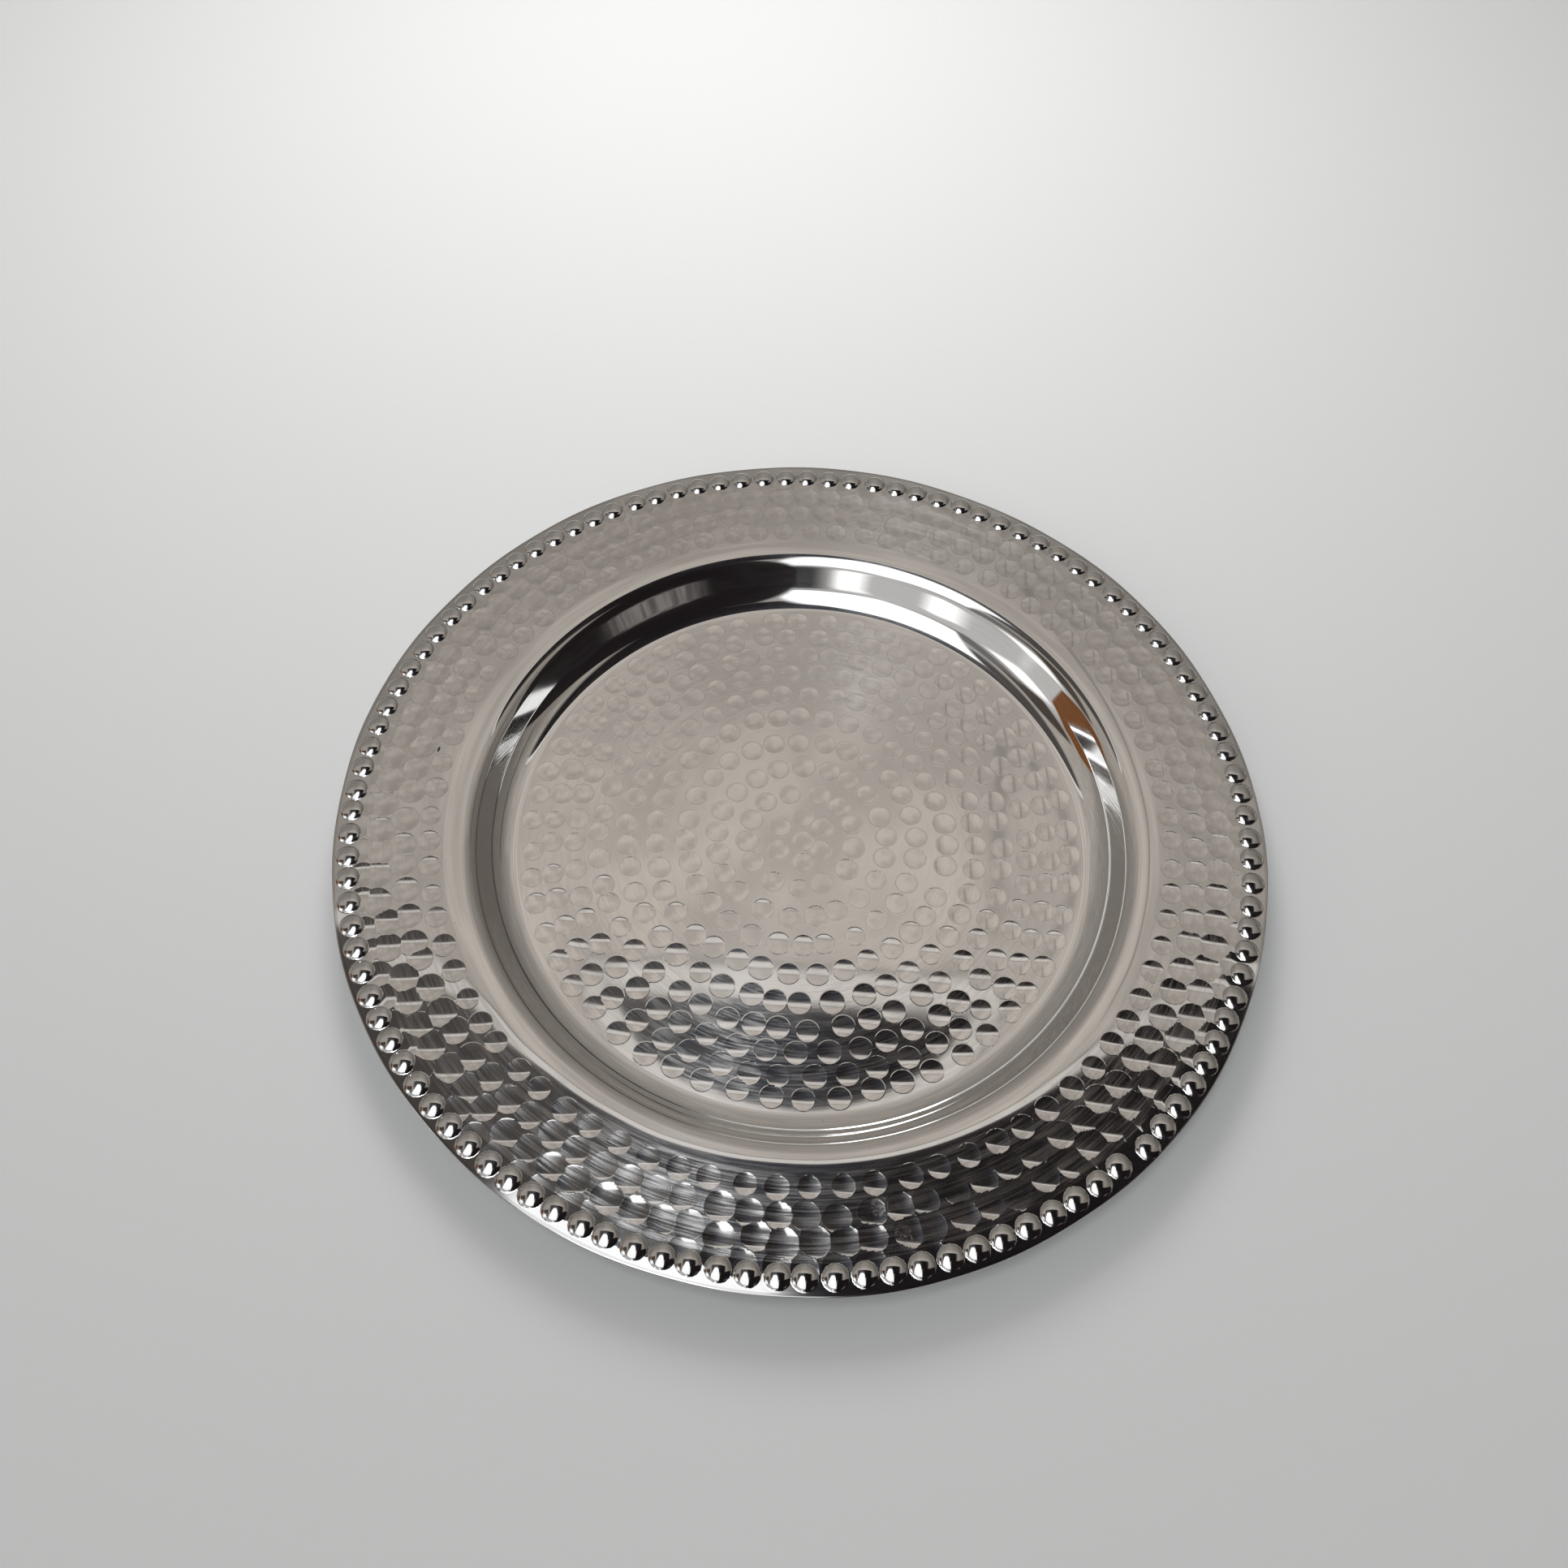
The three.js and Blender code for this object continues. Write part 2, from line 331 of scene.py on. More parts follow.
def warped(x, y):
    """The slight unevenness of pressed sheet: long low waves and their gradient."""
    radius = np.maximum(np.hypot(x, y), NEVER_ZERO)
    angle = np.arctan2(y, x)
    fade = (radius / PLATE_RADIUS) ** 2
    height, outward, along = 0, 0, 0
    for count, phase, depth, length in WAVES:
        wave = count * angle + phase + radius / length
        height = height + depth * fade * np.sin(wave)
        outward = outward + depth * fade * (np.cos(wave) / length + 2 * np.sin(wave) / radius)
        along = along + depth * fade * np.cos(wave) * count / radius
    across_x = outward * x / radius - along * y / radius
    across_y = outward * y / radius + along * x / radius
    return [height, across_x, across_y]


def added(*reliefs):
    return [sum(parts) for parts in zip(*reliefs)]


def floor_relief(x, y):
    return added(marked(x, y, FLOOR_MARKS), warped(x, y))


def rim_relief(x, y):
    return added(beaded(x, y, marked(x, y, RIM_MARKS)), warped(x, y))


# ---- skins: points and normals ----

def skin(x, y, section, relief, lower=0.0):
    """Points and normals of a nearly level skin. `lower` is how far under the upper skin it lies."""
    radius = np.maximum(np.hypot(x, y), NEVER_ZERO)
    height, slope = section(radius)
    share = SHOWS_BELOW if lower else 1.0
    z = height - lower + share * relief[0]
    lean_x = np.tan(slope) * x / radius + share * relief[1]
    lean_y = np.tan(slope) * y / radius + share * relief[2]
    points = np.stack([x, y, z], -1)
    normals = np.stack([-lean_x, -lean_y, np.ones_like(z)], -1)
    normals /= np.linalg.norm(normals, axis=-1, keepdims=True)
    return points, -normals if lower else normals


def turned_skin(rows, columns, lower=0.0):
    """Points and normals of a steep skin, swept round from section rows of (radius, height, slope)."""
    angle = (np.arange(columns) * TURN / columns)[None, :]
    radius, height, slope = (rows[:, i, None] for i in range(3))
    radius = radius + lower * np.sin(slope) + 0 * angle
    x, y = radius * np.cos(angle), radius * np.sin(angle)
    relief = warped(x, y)
    z = height - lower * np.cos(slope) + relief[0]
    outward = np.stack([np.cos(angle), np.sin(angle), 0 * angle], -1)
    normals = -np.sin(slope)[..., None] * outward + np.cos(slope)[..., None] * np.array([0, 0, 1])
    normals = normals - np.stack([relief[1], relief[2], 0 * z], -1)
    normals /= np.linalg.norm(normals, axis=-1, keepdims=True)
    return np.stack([x, y, z], -1), -normals if lower else normals


def polar_grid(inner, outer, rows, columns):
    radius = np.linspace(inner, outer, rows + 1)[:, None]
    angle = (np.arange(columns) * TURN / columns)[None, :]
    return radius * np.cos(angle), radius * np.sin(angle)


def round_grid(radius, cells):
    """A square grid pressed into a disc, so that its cells are about the same size all over."""
    a, b = np.meshgrid(np.linspace(-1, 1, cells + 1), np.linspace(-1, 1, cells + 1))
    wide = np.abs(a) > np.abs(b)
    safe_a = np.where(a == 0, 1, a)
    safe_b = np.where(b == 0, 1, b)
    reach = np.where(wide, a, b)
    angle = np.where(wide, math.pi / 4 * b / safe_a, math.pi / 2 - math.pi / 4 * a / safe_b)
    return radius * reach * np.cos(angle), radius * reach * np.sin(angle)


# ---- meshes ----

# Cells of the upper skins, across the floor or along and round a ring. The lower skins have half as many.
FLOOR_CELLS = 400
WALL_COLUMNS = 1120
RIM_ROWS = 60
RIM_COLUMNS = 2100
BEAD_ROWS = 28
BEAD_COLUMNS = 24 * BEAD_COUNT
NO_EDGE = 9.0                          # noted for points that are far from any mark's edge


def mesh_piece(name, points, normals, faces):
    mesh = bpy.data.meshes.new(name)
    mesh.from_pydata((points * MM).tolist(), [], faces)
    mesh.shade_smooth()
    mesh.normals_split_custom_set_from_vertices(normals.tolist())
    piece = bpy.data.objects.new(name, mesh)
    bpy.context.scene.collection.objects.link(piece)
    return piece


def quads(index, flip=False):
    """Faces between neighbouring rows and columns of a grid of vertex numbers."""
    corners = [index[:-1, :-1], index[:-1, 1:], index[1:, 1:], index[1:, :-1]]
    faces = np.stack([corner.ravel() for corner in corners], 1)
    return (faces[:, ::-1] if flip else faces).tolist()


def around(index):
    """A ring's grid of vertex numbers with its first column repeated at the end."""
    return np.hstack([index, index[:, :1]])


def cut_face(fine, coarse, outward):
    """Joins the upper skin's edge to the lower skin's, which has half as many points."""
    faces = []
    for i in range(len(coarse)):
        after = (i + 1) % len(coarse)
        face = [coarse[i], coarse[after], fine[2 * after], fine[2 * i + 1], fine[2 * i]]
        faces.append([int(number) for number in (face if outward else reversed(face))])
    return faces


def both_skins(upper, lower):
    """Two grids of vertex numbers, and the points and normals of both skins in that order."""
    (top, top_normals), (bottom, bottom_normals) = upper, lower
    above = np.arange(top[..., 0].size).reshape(top.shape[:2])
    below = above.size + np.arange(bottom[..., 0].size).reshape(bottom.shape[:2])
    points = np.vstack([top.reshape(-1, 3), bottom.reshape(-1, 3)])
    normals = np.vstack([top_normals.reshape(-1, 3), bottom_normals.reshape(-1, 3)])
    return above, below, points, normals


def ring_piece(name, upper, lower):
    """A closed ring of sheet from its two skins, each a grid of rows from the inside out."""
    above, below, points, normals = both_skins(upper, lower)
    faces = quads(around(above), flip=True) + quads(around(below))
    faces += cut_face(above[-1], below[-1], True) + cut_face(above[0], below[0], False)
    return mesh_piece(name, points, normals, faces)


def rim_of_grid(index):
    """The outermost vertex numbers of a square grid, anticlockwise from its lower left corner."""
    return np.concatenate([index[0, :-1], index[:-1, -1], index[-1, :0:-1], index[:0:-1, 0]])


def disc_piece(name, upper, lower):
    """A closed disc of sheet from its two skins, each a square grid pressed round."""
    above, below, points, normals = both_skins(upper, lower)
    faces = quads(above) + quads(below, flip=True)
    faces += cut_face(rim_of_grid(above), rim_of_grid(below), True)
    return mesh_piece(name, points, normals, faces)


def note_edges(piece, upper, centres, reach):
    """Keeps, at every point of the upper skin, its distance from the nearest mark's or bead's edge. The
    metal draws the fine burr there, with a painted line of shade along it. The lower skin has none."""
    edge = np.full(len(piece.data.vertices), NO_EDGE)
    x, y = upper
    edge[:x.size] = from_edge(x, y, centres, reach)
    piece.data.attributes.new("mark_edge", "FLOAT", "POINT").data.foreach_set("value", edge)
    return piece


def finished(piece, node, material):
    piece.data.materials.append(material)
    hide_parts(node)
    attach(piece, "root")


def well_floor():
    fine = round_grid(FLOOR_RADIUS, FLOOR_CELLS)
    coarse = round_grid(FLOOR_RADIUS, FLOOR_CELLS // 2)
    disc = disc_piece(
        "floor_skin",
        skin(*fine, floor_section, floor_relief(*fine)),
        skin(*coarse, floor_section, floor_relief(*coarse), lower=SHEET),
    )
    return note_edges(disc, fine, FLOOR_MARKS, mark_reach(FLOOR_MARKS))


def bend_piece(name, rows):
    """A ring of steep sheet. Every other section row and column is enough for its lower skin."""
    upper = turned_skin(rows, WALL_COLUMNS)
    return ring_piece(name, upper, turned_skin(rows[::2], WALL_COLUMNS // 2, lower=SHEET))


def well_wall():
    return bend_piece("wall_skin", wall_rows())


def rim_shoulder():
    return bend_piece("shoulder_skin", shoulder_rows())


def hammered_rim():
    fine = polar_grid(HAMMERED_FROM, BEAD_FROM, RIM_ROWS, RIM_COLUMNS)
    coarse = polar_grid(HAMMERED_FROM, BEAD_FROM, RIM_ROWS // 2, RIM_COLUMNS // 2)
    ring = ring_piece(
        "rim_skin",
        skin(*fine, rim_section, rim_relief(*fine)),
        skin(*coarse, rim_section, rim_relief(*coarse), lower=SHEET),
    )
    return note_edges(ring, fine, RIM_MARKS, mark_reach(RIM_MARKS))


def beaded_border():
    fine = polar_grid(BEAD_FROM, BEAD_TO, BEAD_ROWS, BEAD_COLUMNS)
    coarse = polar_grid(BEAD_FROM, BEAD_TO, BEAD_ROWS // 2, BEAD_COLUMNS // 2)
    ring = ring_piece(
        "bead_skin",
        skin(*fine, rim_section, rim_relief(*fine)),
        skin(*coarse, rim_section, rim_relief(*coarse), lower=SHEET),
    )
    return note_edges(ring, fine, BEADS, BEADS[:, 2])


def edge_lip():
    """The last strip of sheet: a closed outline with a rounded edge, swept round a slightly wavy circle."""
    angle = np.arange(BEAD_COLUMNS) * TURN / BEAD_COLUMNS
    reach = PLATE_RADIUS - sum(depth for _, _, depth in EDGE_WAVES)
    for count, phase, depth in EDGE_WAVES:
        reach = reach + depth * np.sin(count * angle + phase)
    bend = SHEET / 2
    rows, normal_rows = [], []

    def level_row(share, lower):
        """A row of points some share of the way from the beads' ring to where the edge's bend starts."""
        radius = BEAD_TO + share * (reach - bend - BEAD_TO)
        x, y = radius * np.cos(angle), radius * np.sin(angle)
        points, normals = skin(x, y, rim_section, rim_relief(x, y), lower)
        rows.append(points)
        normal_rows.append(normals)

    for share in (0, 0.5, 1):
        level_row(share, 0)
    middle = rows[-1][:, 2] - bend
    for turn in np.linspace(0, math.pi, EDGE_STEPS + 1)[1:-1]:
        out, up = math.sin(turn), math.cos(turn)
        radius = reach - bend + bend * out
        rows.append(np.stack([radius * np.cos(angle), radius * np.sin(angle), middle + bend * up], -1))
        normal_rows.append(np.stack([out * np.cos(angle), out * np.sin(angle), np.full(angle.size, up)], -1))
    for share in (1, 0):
        level_row(share, SHEET)
    grid = np.arange(len(rows) * angle.size).reshape(len(rows), angle.size)
    faces = quads(around(np.vstack([grid, grid[:1]])), flip=True)
    return mesh_piece("lip_skin", np.vstack(rows), np.vstack(normal_rows), faces)


# ---- shader nodes ----

NO_DIVISOR_UNDER = 1e-5                # keeps shaders from dividing by 0


class Nodes:
    """Builds a node tree. Inputs may be plain values or other nodes' sockets."""

    def __init__(self, tree):
        self.tree = tree
        tree.nodes.clear()

    def add(self, kind, inputs=None, **settings):
        node = self.tree.nodes.new(kind)
        for name, value in settings.items():
            setattr(node, name, value)
        for name, value in (inputs or {}).items():
            self.plug(node.inputs[name], value)
        return node

    def plug(self, socket, value):
        if isinstance(value, bpy.types.NodeSocket):
            self.tree.links.new(value, socket)
        else:
            socket.default_value = value

    def math(self, operation, *values):
        node = self.add("ShaderNodeMath", operation=operation)
        for socket, value in zip(node.inputs, values):
            self.plug(socket, value)
        return node.outputs[0]

    def weighted(self, first, first_weight, second, second_weight):
        first_part = self.math("MULTIPLY", first, first_weight)
        return self.math("ADD", first_part, self.math("MULTIPLY", second, second_weight))

    def length(self, x, y):
        return self.math("SQRT", self.weighted(x, x, y, y))

    def all_of(self, *shares):
        """The product of shares, which is 1 only where all of them are."""
        share = shares[0]
        for other in shares[1:]:
            share = self.math("MULTIPLY", share, other)
        return share

    def rise(self, value, start, end, low=0.0, high=1.0):
        """Goes smoothly from low to high as value goes from start to end."""
        return self.add("ShaderNodeMapRange", {
            "Value": value, "From Min": start, "From Max": end, "To Min": low, "To Max": high,
        }, interpolation_type="SMOOTHSTEP").outputs[0]

    def fall(self, value, start, end):
        return self.rise(value, start, end, 1.0, 0.0)

    def band(self, value, start, end, soft):
        """1 where value is between start and end, with edges this soft."""
        up = self.rise(value, start - soft / 2, start + soft / 2)
        return self.math("MULTIPLY", up, self.fall(value, end - soft / 2, end + soft / 2))

    def mix(self, share, first, second):
        node = self.add("ShaderNodeMix", data_type="RGBA")
        for socket, value in ((node.inputs[0], share), (node.inputs[6], first), (node.inputs[7], second)):
            self.plug(socket, value)
        return node.outputs[2]

    def ramp(self, value, stops):
        node = self.add("ShaderNodeValToRGB", {"Fac": value})
        elements = node.color_ramp.elements
        elements[0].position, elements[0].color = stops[0]
        elements[1].position, elements[1].color = stops[-1]
        for position, colour in stops[1:-1]:
            elements.new(position).color = colour
        return node.outputs["Color"]

    def noise(self, vector, scale, detail=2.0, roughness=0.5, distortion=0.0):
        return self.add("ShaderNodeTexNoise", {
            "Vector": vector, "Scale": scale, "Detail": detail,
            "Roughness": roughness, "Distortion": distortion,
        }).outputs["Fac"]

    def vector(self, x, y, z):
        return self.add("ShaderNodeCombineXYZ", {"X": x, "Y": y, "Z": z}).outputs[0]


def grey(value, warmth=0.0):
    """A light level as a colour. Warmth takes blue away and adds red."""
    return (value * (1 + warmth), value, value * (1 - warmth), 1)


# ---- the room that the metal mirrors ----

BACKDROP = 0.72                        # light level of the plain backdrop that the camera sees

# Light level of the pale wall ahead, by degrees above the horizon in front.
WALL_AHEAD = [(0, 0.38), (20, 0.39), (35, 0.40), (50, 0.42), (54, 0.49), (58, 0.55), (62, 0.63), (66, 0.65)]
WALL_WARMTH = 0.085
WALL_TOP = 66.5
CEILING_FROM = 67.8                    # between the two runs a pale cornice
MOTTLE_SIZE = 3.6                      # degrees across the faint blotches on the wall

WALL_LOW = (0.265, 0.262, 0.215, 1)
WALL_RIGHT = (0.15, 0.132, 0.110, 1)
WALL_LEFT = (0.34, 0.31, 0.27, 1)
BROWN_SHADE = (0.075, 0.058, 0.048, 1)
DOOR_WOOD = (0.20, 0.075, 0.022, 1)
DARK_CLOTHES = (0.013, 0.010, 0.011, 1)

# The ceiling's colour from left to right.
CEILING_TONES = [
    (0.0, (0.078, 0.070, 0.066, 1)),
    (0.30, (0.064, 0.062, 0.064, 1)),
    (0.48, (0.040, 0.044, 0.056, 1)),
    (0.68, (0.014, 0.012, 0.014, 1)),
    (1.0, (0.012, 0.010, 0.011, 1)),
]

# Pale things behind the viewer, as (left, right, near, far) in the map of directions.
PALE_THINGS = [(-74, -50, -35, -16), (-62, -42, -76, -58), (-18, -7, -82, -64)]
PALE_LIGHT = 1.7

WINDOW_LIGHT = 1.6
WINDOW_TINT = (0.98, 1.0, 1.03)
SUN_LIGHT = 11.0                       # the brightest part of the window
SUN_TINT = (0.97, 1.0, 1.05)


def lit(level, tint):
    return tuple(level * share for share in tint) + (1,)


class Room:
    """Light by direction. Directions are mapped as degrees from overhead: `aside` to the right and `ahead`
    to the front. `degrees` is how far a direction is from overhead, and `over` is how far it is above the
    horizon in front."""

    def __init__(self, nodes):
        self.nodes = nodes
        direction = nodes.add("ShaderNodeTexCoord").outputs["Generated"]
        x, y, z = nodes.add("ShaderNodeSeparateXYZ", {0: direction}).outputs
        level = nodes.length(x, y)
        self.degrees = nodes.math("DEGREES", nodes.math("ARCTAN2", level, z))
        stretch = nodes.math("DIVIDE", self.degrees, nodes.math("MAXIMUM", level, NO_DIVISOR_UNDER))
        self.aside = nodes.math("MULTIPLY", x, stretch)
        self.ahead = nodes.math("MULTIPLY", y, stretch)
        self.over = nodes.math("DEGREES", nodes.math("ARCTAN2", z, y))
        across = nodes.math("DIVIDE", self.aside, MOTTLE_SIZE)
        along = nodes.math("DIVIDE", self.ahead, MOTTLE_SIZE)
        self.mottle = nodes.noise(nodes.vector(across, along, 0.0), 1.0)

    def patch(self, left, right, near, far, soft):
        across = self.nodes.band(self.aside, left, right, soft)
        return self.nodes.all_of(across, self.nodes.band(self.ahead, near, far, soft))

    def slanted(self, per_aside, per_ahead, offset):
        """Degrees past a slanted line, in the map of directions."""
        across = self.nodes.math("MULTIPLY", self.aside, per_aside)
        along = self.nodes.math("MULTIPLY", self.ahead, per_ahead)
        return self.nodes.math("ADD", self.nodes.math("ADD", across, along), offset)

    def wall_ahead(self):
        """A pale wall, dimmer far to the sides and greener low down, with a moulding and a trim."""
        nodes = self.nodes
        stops = [(at / 90, grey(light, WALL_WARMTH)) for at, light in WALL_AHEAD]
        wall = nodes.ramp(nodes.math("DIVIDE", self.over, 90.0), stops)
        wall = nodes.mix(nodes.rise(self.mottle, 0.36, 0.64, 0.0, 0.27), wall, grey(0.1, 0.05))
        wall = nodes.mix(nodes.rise(self.degrees, 62, 88, 0.0, 0.5), wall, WALL_LOW)
        wall = nodes.mix(nodes.rise(self.aside, 22, 55, 0.0, 0.65), wall, WALL_RIGHT)
        wall = nodes.mix(nodes.rise(self.aside, -75, -30, 0.35, 0.0), wall, WALL_LEFT)
        off_centre = nodes.math("ABSOLUTE", self.aside)
        wall = nodes.mix(nodes.rise(off_centre, 6, 20, 0.0, 0.28), wall, grey(0.12, 0.05))
        moulding = nodes.band(self.aside, 8.0, 8.5, 0.25)
        moulding = nodes.all_of(moulding, nodes.band(self.ahead, 25, 40, 2), 0.55)
        wall = nodes.mix(moulding, wall, grey(0.15, 0.05))
        trim = nodes.band(self.slanted(1, 0.35, 0), 60, 63, 1.5)
        trim = nodes.all_of(trim, nodes.band(self.ahead, 8, 40, 6), 0.7)
        return nodes.mix(trim, wall, grey(0.05))

    def behind_viewer(self, colour):
        """Pale and dim things on the left, with a wooden door and its dark frame."""
        nodes = self.nodes
        behind = nodes.fall(self.ahead, -14, -2)
        colour = nodes.mix(behind, colour, grey(0.42, 0.03))
        colour = nodes.mix(nodes.all_of(behind, nodes.rise(self.degrees, 54, 60)), colour, grey(0.60, 0.01))
        brown = self.patch(left=-60, right=-32, near=-13, far=4, soft=3)
        colour = nodes.mix(brown, colour, BROWN_SHADE)
        dim = self.patch(left=-43, right=-31, near=-38, far=-10, soft=3)
        colour = nodes.mix(dim, colour, grey(0.17, 0.02))
        for place in PALE_THINGS:
            colour = nodes.mix(self.patch(*place, soft=8), colour, grey(PALE_LIGHT))
        door = nodes.all_of(
            nodes.fall(self.aside, -68, -66),
            nodes.fall(self.slanted(0.40, 1, 20.0), -1, 1),
            nodes.rise(self.slanted(-0.95, 1, -60.0), -1, 1),
        )
        colour = nodes.mix(door, colour, DOOR_WOOD)
        door_frame = nodes.band(self.slanted(0.754, 0.656, 59.0), -2, 2, 1.5)
        door_frame = nodes.all_of(door_frame, nodes.fall(self.aside, -88, -85))
        return nodes.mix(door_frame, colour, grey(0.01))

    def right_of_viewer(self, colour):
        """Dusk low down, then dark clothes with dim mottled things far off beside them."""
        nodes = self.nodes
        dusk = nodes.all_of(
            nodes.rise(self.degrees, 57, 63),
            nodes.rise(self.slanted(1, 0, 7), -2, 10),
            nodes.fall(self.ahead, -16, -10),
        )
        colour = nodes.mix(dusk, colour, grey(0.05, -0.05))
        dark = nodes.all_of(nodes.fall(self.slanted(-0.24, 1, 12), -1, 1), nodes.rise(self.aside, 7, 9))
        colour = nodes.mix(dark, colour, DARK_CLOTHES)
        things = nodes.all_of(
            dark,
            nodes.rise(self.degrees, 66, 77),
            nodes.rise(self.aside, 38, 50),
            nodes.fall(self.ahead, -46, -34),
            nodes.rise(self.mottle, 0.40, 0.58, 0.4, 1.0),
        )
        return nodes.mix(nodes.math("MULTIPLY", things, 0.6), colour, grey(0.36, 0.05))

    def ceiling(self, colour):
        """A dark ceiling, lit in one strip, with a pale cornice where it meets the wall."""
        nodes = self.nodes
        above_wall = nodes.all_of(
            nodes.rise(self.aside, -30, -22),
            nodes.fall(self.aside, 24, 34),
            nodes.rise(self.ahead, -12, -8),
        )
        tone = nodes.ramp(nodes.rise(self.aside, -16, 16), CEILING_TONES)
        strip = nodes.all_of(nodes.rise(self.over, 72, 86), nodes.band(self.aside, -13, -1, 5))
        tone = nodes.mix(nodes.math("MULTIPLY", strip, 0.5), tone, grey(0.30, -0.03))
        start = nodes.rise(self.over, CEILING_FROM - 0.15, CEILING_FROM + 0.15)
        colour = nodes.mix(nodes.all_of(above_wall, start), colour, tone)
        cornice = nodes.all_of(above_wall, nodes.band(self.over, WALL_TOP + 0.1, CEILING_FROM, 0.15))
        colour = nodes.mix(cornice, colour, grey(0.80, 0.04))
        shadow = nodes.all_of(above_wall, nodes.band(self.over, WALL_TOP - 0.1, WALL_TOP + 0.1, 0.1))
        return nodes.mix(shadow, colour, grey(0.22, 0.06))

    def window(self, colour):
        """A bright window overhead and behind, with slanting sides, and the sun in it."""
        nodes = self.nodes
        far_end = nodes.rise(self.aside, -3, 1, 9.0, 4.0)
        window = nodes.all_of(
            nodes.rise(self.ahead, -53, -51),
            nodes.fall(nodes.math("SUBTRACT", self.ahead, far_end), -1, 1),
            nodes.fall(self.slanted(1, 0.19, -2.0), -1, 1),
            nodes.fall(self.aside, 6, 8),
            nodes.rise(self.slanted(1, -0.55, 18.0), -1, 1),
            nodes.rise(self.slanted(1, 1, 72), -2, 2),
        )
        colour = nodes.mix(window, colour, lit(WINDOW_LIGHT, WINDOW_TINT))
        sun = self.patch(left=-14, right=-5, near=-24, far=2, soft=2)
        return nodes.mix(sun, colour, lit(SUN_LIGHT, SUN_TINT))

    def colour(self):
        return self.window(self.ceiling(self.right_of_viewer(self.behind_viewer(self.wall_ahead()))))


def studio():
    """The room lights the plate and is mirrored by it. The camera sees a plain backdrop instead."""
    world = bpy.data.worlds.new("studio")
    bpy.context.scene.world = world
    world.use_nodes = True
    world.cycles.sampling_method = "MANUAL"
    world.cycles.sample_map_resolution = 1024
    nodes = Nodes(world.node_tree)
    path = nodes.add("ShaderNodeLightPath").outputs
    colour = nodes.mix(path["Is Camera Ray"], Room(nodes).colour(), grey(BACKDROP))
    background = nodes.add("ShaderNodeBackground", {"Color": colour, "Strength": 1.0})
    nodes.add("ShaderNodeOutputWorld", {"Surface": background.outputs[0]})


# ---- metal ----

BRUSH_DEPTH = 0.0006                   # of the concentric brush lines
POLISHED_DEPTH = BRUSH_DEPTH / 8       # where they have been polished away
BURR_WIDTH = 0.38                      # from the line's middle to its foot
BURR_HEIGHT = 0.007
ANISOTROPY = 0.95
CENTRE_HAZE = 0.12                     # share of the haze left near the centre, where the lines run together
HAZE_FROM = 35 * MM                    # from this radius it grows
HAZE_FULL = 75 * MM
SCUFF_HAZE = 0.75
NICK_SHADE = (0.03, 0.027, 0.025, 1)          # painted shade inside a nick

RIM_NICKS = [(134.5, 171, 2.4, 1.0)]
RIM_SCUFFS = [(139, 282.5, 7, 7), (149, 284.5, 6, 10)]


class Brushing:
    """Where a point lies on the turned metal, and the patterns that follow from it."""

    def __init__(self, nodes, seed):
        self.nodes = nodes
        self.seed = seed
        self.place = nodes.add("ShaderNodeTexCoord").outputs["Object"]
        self.x, self.y, _ = nodes.add("ShaderNodeSeparateXYZ", {0: self.place}).outputs
        self.radius = nodes.length(self.x, self.y)
        divisor = nodes.math("ADD", self.radius, NO_DIVISOR_UNDER)
        self.cosine = nodes.math("DIVIDE", self.x, divisor)
        self.sine = nodes.math("DIVIDE", self.y, divisor)

    def lines(self, per_metre, round_count, detail):
        """Noise that changes fast with the radius and slowly along the circle."""
        across = self.nodes.math("MULTIPLY", self.radius, per_metre)
        along_x = self.nodes.math("MULTIPLY", self.cosine, round_count)
        along_y = self.nodes.math("MULTIPLY", self.sine, round_count)
        moved = self.nodes.vector(self.nodes.math("ADD", across, self.seed * 7.3), along_x, along_y)
        return self.nodes.noise(moved, 1.0, detail)

    def blemish(self, at, turned, length, width):
        """1 within an oval that lies along the circle, and 0 outside it."""
        nodes = self.nodes
        turn = math.radians(turned)
        cosine, sine = math.cos(turn), math.sin(turn)
        right = nodes.math("SUBTRACT", self.x, at * MM * cosine)
        up = nodes.math("SUBTRACT", self.y, at * MM * sine)
        half_width = width / 2 * MM
        half_length = length / 2 * MM
        outward = nodes.weighted(right, cosine / half_width, up, sine / half_width)
        along = nodes.weighted(right, -sine / half_length, up, cosine / half_length)
        return nodes.fall(nodes.weighted(outward, outward, along, along), 0.6, 1.1)


def darker(colour, share):
    return tuple(channel * share for channel in colour) + (1,)


